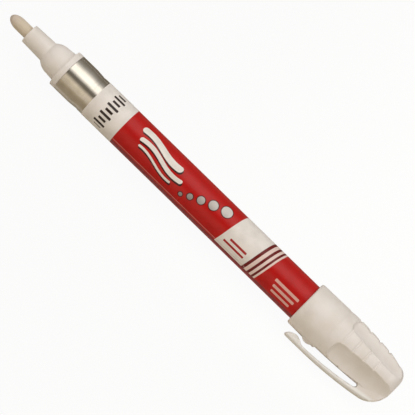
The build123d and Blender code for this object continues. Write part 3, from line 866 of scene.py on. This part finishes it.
def moulded_plastic(name, base, shade, roughness, wear):
    """Satin moulded plastic: cloudy colour, fine grain, smudges where it is handled, and on the cap's clip
    painted light and painted shade along its outer edge.
    """
    cloud_range, smudge_shade = (0.35, 0.7), 0.93
    # Painted light on the clip, paler where it stands off the cap, and painted shade along its outer edge
    clip_light_share, clip_light_tone = 0.8, color(254, 252, 249)
    clip_shade_share, clip_shade_tone = 0.6, color(190, 182, 170)
    grain_dull, rubbed_gloss = 0.12, -0.1
    grain_depth, scratch_cut = 0.012, -0.4
    material, tree, shader, where = new_material(name)
    grain = use(tree, GRAIN, {"Position": where})
    marks = use(tree, MARKS, {"Position": where, "Amount": wear})
    clip = use(tree, CLIP, {"Position": where})
    tone = mix(tree, step(tree, grain["Cloud"], *cloud_range), color(*base), color(*shade))
    tone = mix(tree, marks["Smudge"], tone, color(*(c * smudge_shade for c in shade)))
    # Painted light: the clip is paler where it stands off the cap
    tone = mix(tree, calc(tree, "MULTIPLY", clip["Painted Light"], clip_light_share), tone, clip_light_tone)
    # Painted shade: the clip's outer edge is darker
    tone = mix(tree, calc(tree, "MULTIPLY", clip["Painted Shade Edge"], clip_shade_share), tone, clip_shade_tone)
    tree.links.new(tone, shader["Base Color"])
    rubbed = calc(tree, "MULTIPLY_ADD", marks["Scratch"], rubbed_gloss, roughness)
    tree.links.new(calc(tree, "MULTIPLY_ADD", grain["Grain"], grain_dull, rubbed), shader["Roughness"])
    height = calc(tree, "MULTIPLY_ADD", marks["Scratch"], scratch_cut, grain["Grain"])
    bump(tree, shader, height, grain_depth)
    return material


def bare_aluminium():
    """Bright drawn aluminium, with faint draw lines along the tube and dulled spots."""
    bright, dulled, smudged = color(200, 193, 182), color(188, 180, 167), color(172, 163, 148)
    line_size, line_stretch, line_depth = 0.22, (60.0, 1.0, 1.0), 0.002
    cloud_size, cloud_range, wear = 5.0, (0.3, 0.75), 0.6
    roughness, line_dull, smudge_dull = 0.1, 0.14, 0.1
    material, tree, shader, where = new_material("bare_aluminium")
    shader["Metallic"].default_value = 1.0
    lines = noise(tree, where, line_size, line_stretch, 2.0)
    cloud = noise(tree, where, cloud_size)
    marks = use(tree, MARKS, {"Position": where, "Amount": wear})
    tone = mix(tree, step(tree, cloud, *cloud_range), bright, dulled)
    tree.links.new(mix(tree, marks["Smudge"], tone, smudged), shader["Base Color"])
    drawn = calc(tree, "MULTIPLY_ADD", lines, line_dull, roughness)
    tree.links.new(calc(tree, "MULTIPLY_ADD", marks["Smudge"], smudge_dull, drawn), shader["Roughness"])
    bump(tree, shader, lines, line_depth)
    return material


def nib_fibre():
    """Pressed fibre: streaks of pale and tan along the nib, and a worn tip that is darkest at its end."""
    pale, tan, worn_tone, dark_tone = (
        color(228, 214, 194), color(199, 183, 159), color(214, 198, 182), color(176, 160, 146))
    fibre_size, fibre_stretch, fibre_depth = 0.16, (14.0, 1.0, 1.0), 0.05
    cloud_size, cloud_middle = 1.6, 0.5
    worn_from, worn_to, worn_range = NIB_TIP_X + 6.0, NIB_TIP_X + 0.8, (0.2, 1.0)
    dark_from, dark_share = NIB_TIP_X + 1.4, 0.5
    material, tree, shader, where = new_material("nib_fibre")
    along = use(tree, ROUND, {"Position": where, "Radius": NIB_R})["Along"]
    fibres = noise(tree, where, fibre_size, fibre_stretch, 3.0)
    cloud = noise(tree, where, cloud_size)
    streaked = mix(tree, fibres, pale, tan)
    patchy = calc(tree, "SUBTRACT", cloud, cloud_middle)
    tip = calc(tree, "ADD", step(tree, along, worn_from, worn_to), patchy)
    worn = mix(tree, step(tree, tip, *worn_range), streaked, worn_tone)
    dark_end = step(tree, along, dark_from, NIB_TIP_X, 0.0, dark_share)
    tree.links.new(mix(tree, dark_end, worn, dark_tone), shader["Base Color"])
    shader["Roughness"].default_value = 0.85
    bump(tree, shader, fibres, fibre_depth)
    return material


def ink(tree, along, around, marks, wave=0.0, wave_length=10.0):
    """Ink of several marks, each (middle along, middle around, half length, half width, corner)."""
    total = None
    for middle_along, middle_around, half_length, half_width, rounding in marks:
        one = use(tree, MARK, {
            "Along": along, "Around": around, "Middle Along": middle_along, "Middle Around": middle_around,
            "Half Length": half_length, "Half Width": half_width, "Corner": rounding,
            "Wave": wave, "Wave Length": wave_length,
        })["Ink"]
        total = one if total is None else calc(tree, "MAXIMUM", total, one)
    return total


# Printed marks: (middle along, middle around, half length, half width, corner), in millimetres
TICKS = [(19.0, -7.2 + 1.8 * i, 2.3 if i % 2 else 1.5, 0.45, 0.2) for i in range(9)]
STROKES = [(40.5, -3.6, 9.5, 1.2, 1.1), (42.5, -0.4, 10.0, 0.75, 0.7), (41.5, 2.0, 8.0, 0.4, 0.35)]
STROKE_WAVE = (1.1, 24.0)
SHADOW_SHIFT = (0.45, 0.55)
DOTS = [(54.5 + 2.6 * i + 0.3 * i * i, 3.2 - 1.7 * i, *[0.7 + 0.32 * i] * 3) for i in range(5)]
DOT_RIM = 0.3
NOTES = [(80.2, 2.2, 3.6, 0.42, 0.2), (79.4, 4.0, 4.4, 0.42, 0.2)]
LINES = [(101.5, 1.2 + 2.0 * i, 5.2 - 0.6 * i, 0.5, 0.25) for i in range(3)]
GUIDE = ((BAND_END_X + STRIPE_EDGES_X[0]) / 2, 6.3, (STRIPE_EDGES_X[0] - BAND_END_X) / 2, 0.16, 0.1)
GUIDE_SHARE = 0.42


def film_fields(tree, along, around):
    """The film's ground: a white band, a red field with painted shade darkening it on the film's lower side
    past the lap, a white panel and slanted stripes up to the back edge.
    """
    white, pale = color(240, 232, 225), color(240, 214, 204)
    red, deep_red = color(190, 14, 8), color(112, 16, 16)
    blur, stripe_blur = 0.05, 0.06
    lap_edge = (SEAM_TURN - 2 * pi) * FILM_R
    # Painted shade: the red field darkens towards deep red on the film's lower side, just past the lap
    painted_shade_from, painted_shade_to, painted_shade_share = lap_edge + 1.0, lap_edge + 3.5, 0.75
    field = mix(tree, step(tree, around, painted_shade_from, painted_shade_to, painted_shade_share, 0.0), red, deep_red)
    base = mix(tree, past(tree, along, BAND_END_X, blur), white, field)
    slanted = calc(tree, "MULTIPLY_ADD", around, SLANT, along)
    stripes = [(x, pale if i % 2 else deep_red) for i, x in enumerate(STRIPE_EDGES_X)]
    panel = base
    for edge, after in [(PANEL_X, white), *stripes, (FIELD_X, red)]:
        panel = mix(tree, past(tree, slanted, edge, stripe_blur), panel, after)
    return mix(tree, past(tree, around, BACK_EDGE, blur), base, panel)


def film_marks(tree, along, around, base):
    """Plain marks printed on the ground, one kind over the other."""
    silver_range = (-6.0, 4.5)
    silver = mix(tree, step(tree, around, *silver_range), color(226, 220, 214), color(146, 138, 134))
    shadows = [(x + SHADOW_SHIFT[0], y + SHADOW_SHIFT[1], *rest) for x, y, *rest in STROKES]
    rims = [(x, y, *(size + DOT_RIM for size in sizes)) for x, y, *sizes in DOTS]
    for marks, tone, *wave in (
        (TICKS, color(52, 38, 32)),
        (shadows, color(62, 12, 12), *STROKE_WAVE),
        (STROKES, color(242, 234, 226), *STROKE_WAVE),
        (rims, color(84, 14, 14)),
        (DOTS, silver),
        (NOTES, color(176, 40, 40)),
        (LINES, color(230, 176, 164)),
    ):
        base = mix(tree, ink(tree, along, around, marks, *wave), base, tone)
    guide = calc(tree, "MULTIPLY", ink(tree, along, around, [GUIDE]), GUIDE_SHARE)
    return mix(tree, guide, base, color(226, 186, 172))


def printed_film():
    """Gloss film with a white band, red fields, slanted stripes and plain marks, lapped along one line."""
    cloud_size, cloud_range, cloud_share, cloud_tone = 3.0, (0.3, 0.8), 0.14, color(120, 110, 100)
    roughness, cloud_dull, smudge_dull, wear = 0.24, 0.12, 0.12, 0.5
    ripple_size, ripple_depth, scratch_cut = 1.1, 0.01, -0.3
    material, tree, shader, where = new_material("printed_film")
    film = use(tree, ROUND, {"Position": where, "Radius": FILM_R})
    base = film_fields(tree, film["Along"], film["Around"])
    base = film_marks(tree, film["Along"], film["Around"], base)
    cloud = noise(tree, where, cloud_size)
    marks = use(tree, MARKS, {"Position": where, "Amount": wear})
    clouded = step(tree, cloud, *cloud_range, 0.0, cloud_share)
    tree.links.new(mix(tree, clouded, base, cloud_tone, "MULTIPLY"), shader["Base Color"])
    shader["Specular IOR Level"].default_value = 0.26
    gloss = calc(tree, "MULTIPLY_ADD", cloud, cloud_dull, roughness)
    tree.links.new(calc(tree, "MULTIPLY_ADD", marks["Smudge"], smudge_dull, gloss), shader["Roughness"])
    ripple = noise(tree, where, ripple_size)
    bump(tree, shader, calc(tree, "MULTIPLY_ADD", marks["Scratch"], scratch_cut, ripple), ripple_depth)
    return material


def matt_rubber():
    """Black rubber of the two seals, cloudy and finely grained."""
    dark, bloom = color(34, 34, 35), color(52, 51, 50)
    roughness, grain_dull, grain_depth = 0.65, 0.2, 0.02
    material, tree, shader, where = new_material("matt_rubber")
    grain = use(tree, GRAIN, {"Position": where})
    tree.links.new(mix(tree, grain["Cloud"], dark, bloom), shader["Base Color"])
    tree.links.new(calc(tree, "MULTIPLY_ADD", grain["Grain"], grain_dull, roughness), shader["Roughness"])
    bump(tree, shader, grain["Grain"], grain_depth)
    return material


def steel(name, roughness):
    """Bright steel with fine clouds in its polish."""
    bright, dulled = color(214, 213, 212), color(186, 185, 184)
    cloud_size, cloud_dull, cloud_depth = 0.2, 0.12, 0.002
    material, tree, shader, where = new_material(name)
    shader["Metallic"].default_value = 1.0
    cloud = noise(tree, where, cloud_size)
    tree.links.new(mix(tree, cloud, bright, dulled), shader["Base Color"])
    tree.links.new(calc(tree, "MULTIPLY_ADD", cloud, cloud_dull, roughness), shader["Roughness"])
    bump(tree, shader, cloud, cloud_depth)
    return material


# Room, table and camera

def place_camera():
    """A long lens that sees the clip in profile and the marker across the picture as in the photograph."""
    roll = clip_roll()
    to_camera = Vector((0, -cos(roll), sin(roll)))
    run = END_PIXEL - TIP_PIXEL
    to_centre = Vector((PHOTO_SIDE / 2, PHOTO_SIDE / 2)) - TIP_PIXEL
    along = to_centre.dot(run) / run.length_squared
    aim = Vector(((NIB_TIP_X + along * (CAP_END_X - NIB_TIP_X)) * MM, 0, 0))
    stand = Vector((SQUARE_ON_X * MM, 0, 0)) + CAMERA_DISTANCE * to_camera
    back = (stand - aim).normalized()
    axis = Vector((1, 0, 0))
    axis = (axis - axis.dot(back) * back).normalized()
    clip_way = axis.cross(back)
    slope = atan2(run.y, run.x)
    right = cos(slope) * axis - sin(slope) * clip_way
    up = -sin(slope) * axis - cos(slope) * clip_way
    data = bpy.data.cameras.new("photo_camera")
    camera = bpy.data.objects.new("photo_camera", data)
    bpy.context.scene.collection.objects.link(camera)
    camera.matrix_world = Matrix.Translation(stand) @ Matrix((right, up, back)).transposed().to_4x4()
    seen = []
    for x in (NIB_TIP_X, CAP_END_X):
        way = Vector((x * MM, 0, 0)) - stand
        seen.append(Vector((way.dot(right), way.dot(up))) / -way.dot(back))
    data.sensor_width = SENSOR_WIDTH
    data.lens = SENSOR_WIDTH * run.length / PHOTO_SIDE / (seen[1] - seen[0]).length
    bpy.context.scene.camera = camera


# Light round the marker's axis: degrees from level in front over the top to level behind, level and tint
WARM = (1.0, 0.92, 0.785)
NEUTRAL = (1.0, 0.99, 0.97)
ROOM = (
    (0, 0.74, WARM), (11, 0.8, WARM), (31, 0.98, WARM), (43, 0.58, WARM), (50, 0.19, WARM),
    (65.5, 0.19, WARM), (77.5, 1.1, NEUTRAL), (84, 1.7, NEUTRAL), (112, 1.7, NEUTRAL),
    (128, 0.8, NEUTRAL), (140, 0.42, NEUTRAL), (162, 0.26, WARM), (180, 0.2, WARM),
)


def light_the_room():
    """A warm room in front, a dark stand round the camera and a bright panel overhead, strongest abeam."""
    abeam_level, end_fall, rear_fall = 1.22, -1.1, -0.06
    world = bpy.data.worlds.new("soft_room")
    bpy.context.scene.world = world
    world.use_nodes = True
    tree = world.node_tree
    parts = split(tree, coordinates(tree, "Generated"))
    height = calc(tree, "ARCTAN2", parts["Z"], calc(tree, "MULTIPLY", parts["Y"], -1.0))
    ramp = place(tree, "ShaderNodeValToRGB", {0: calc(tree, "DIVIDE", height, pi)})
    elements = ramp.color_ramp.elements
    while len(elements) < len(ROOM):
        elements.new(0.5)
    for element, (angle, level, tint) in zip(elements, ROOM):
        element.position = angle / 180
        element.color = (*(level * t for t in tint), 1)
    squared = calc(tree, "POWER", parts["X"], 2.0)
    strength = calc(tree, "MULTIPLY_ADD", squared, end_fall, abeam_level)
    strength = calc(tree, "MULTIPLY_ADD", parts["X"], rear_fall, strength)
    background = tree.nodes["Background"]
    tree.links.new(ramp.outputs["Color"], background.inputs["Color"])
    tree.links.new(strength, background.inputs["Strength"])


def lay_plane(name, size, height, material):
    """A level plane that belongs to the studio."""
    bpy.ops.object.select_all(action="DESELECT")
    bpy.ops.mesh.primitive_plane_add(size=size, location=(0, 0, height))
    plane = bpy.context.object
    plane.name = name
    plane.data.materials.append(material)
    return plane


def make_floor():
    """A white table that keeps a faint shadow, and is bright where the camera or a reflection sees it."""
    size, glow_share = 6, 0.95
    under_tone = (0.9, 0.85, 0.76, 1)
    front_y, front_tone = (-0.03, -0.012), (0.5, 0.47, 0.4, 1)
    nose_x, nose_tone = (0.02, 0.12), (0.42, 0.39, 0.33, 1)
    table = bpy.data.materials.new("white_table")
    table.use_nodes = True
    tree = table.node_tree
    path = place(tree, "ShaderNodeLightPath").outputs
    seen = calc(tree, "MAXIMUM", path["Is Camera Ray"], path["Is Glossy Ray"])
    seen = calc(tree, "MAXIMUM", seen, path["Is Transmission Ray"])
    glowing = calc(tree, "MULTIPLY", seen, glow_share)
    spot = split(tree, coordinates(tree))
    tone = mix(tree, step(tree, spot["Y"], *front_y), front_tone, under_tone)
    tone = mix(tree, step(tree, spot["X"], *nose_x), nose_tone, tone)
    paint = place(tree, "ShaderNodeBsdfDiffuse", {"Color": tone}).outputs[0]
    glow = place(tree, "ShaderNodeEmission", {"Color": (1, 1, 1, 1), "Strength": 1.0}).outputs[0]
    both = place(tree, "ShaderNodeMixShader", {0: glowing, 1: paint, 2: glow}).outputs[0]
    tree.links.new(both, tree.nodes["Material Output"].inputs["Surface"])
    lay_plane("floor", size, cad_box[0].z, table)


def make_card():
    """A grey card on the table that only reflections show, in strips along the marker from front to back."""
    size, lift = 1.2, 0.0001
    tone = (0.74, 0.65, 0.51, 1)
    grey, tree, shader, where = new_material("grey_card")
    across = split(tree, where)["Y"]
    for start, end, after in (
        (-0.09, -0.02, (0.54, 0.48, 0.38, 1)),
        (-0.014, -0.009, (0.95, 0.91, 0.84, 1)),
        (0.0, 0.03, (0.26, 0.23, 0.19, 1)),
    ):
        tone = mix(tree, step(tree, across, start, end), tone, after)
    tree.links.new(tone, shader["Base Color"])
    shader["Roughness"].default_value = 1.0
    card = lay_plane("reflection_card", size, cad_box[0].z + lift, grey)
    card.visible_camera = False
    card.visible_diffuse = False
    card.visible_transmission = False
    card.visible_shadow = False


# Assembly

WHITE = moulded_plastic("white_plastic", (238, 230, 224), (232, 223, 214), roughness=0.36, wear=0.5)
NATURAL = moulded_plastic("valve_plastic", (228, 228, 224), (216, 216, 210), roughness=0.4, wear=0.1)
LINER = moulded_plastic("liner_plastic", (232, 232, 228), (222, 222, 216), roughness=0.42, wear=0.1)
RUBBER = matt_rubber()

for make, look, body, slot, node in (
    (make_nib, nib_fibre(), "nib", "nib_fibre", "nib"),
    (make_nose, WHITE, "barrel", "white_plastic", "nose_section"),
    (make_tube, bare_aluminium(), "barrel", "bare_aluminium", "barrel_tube"),
    (make_film, printed_film(), "barrel", "printed_film", "label_film"),
    (make_cap, WHITE, "cap", "white_plastic", "cap_shell"),
    (make_liner, LINER, "cap", "liner_plastic", "inner_cap"),
    (make_spring, steel("spring_steel", roughness=0.2), "barrel", "spring_steel", "valve_spring"),
):
    piece = make()
    piece.data.materials.clear()
    piece.data.materials.append(look)
    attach(piece, body)
    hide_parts(node)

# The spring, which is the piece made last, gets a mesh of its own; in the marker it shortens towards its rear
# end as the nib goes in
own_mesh(piece)

for node, look in {
    "barrel_seal": RUBBER,
    "valve_seal": RUBBER,
    "valve_housing": NATURAL,
    "valve_stem": NATURAL,
    "spring_retainer": NATURAL,
    "mixing_ball": steel("ball_steel", roughness=0.06),
}.items():
    nodes[node].data.materials.clear()
    nodes[node].data.materials.append(look)

bpy.context.scene.view_settings.view_transform = "Standard"
light_the_room()
make_floor()
make_card()
place_camera()
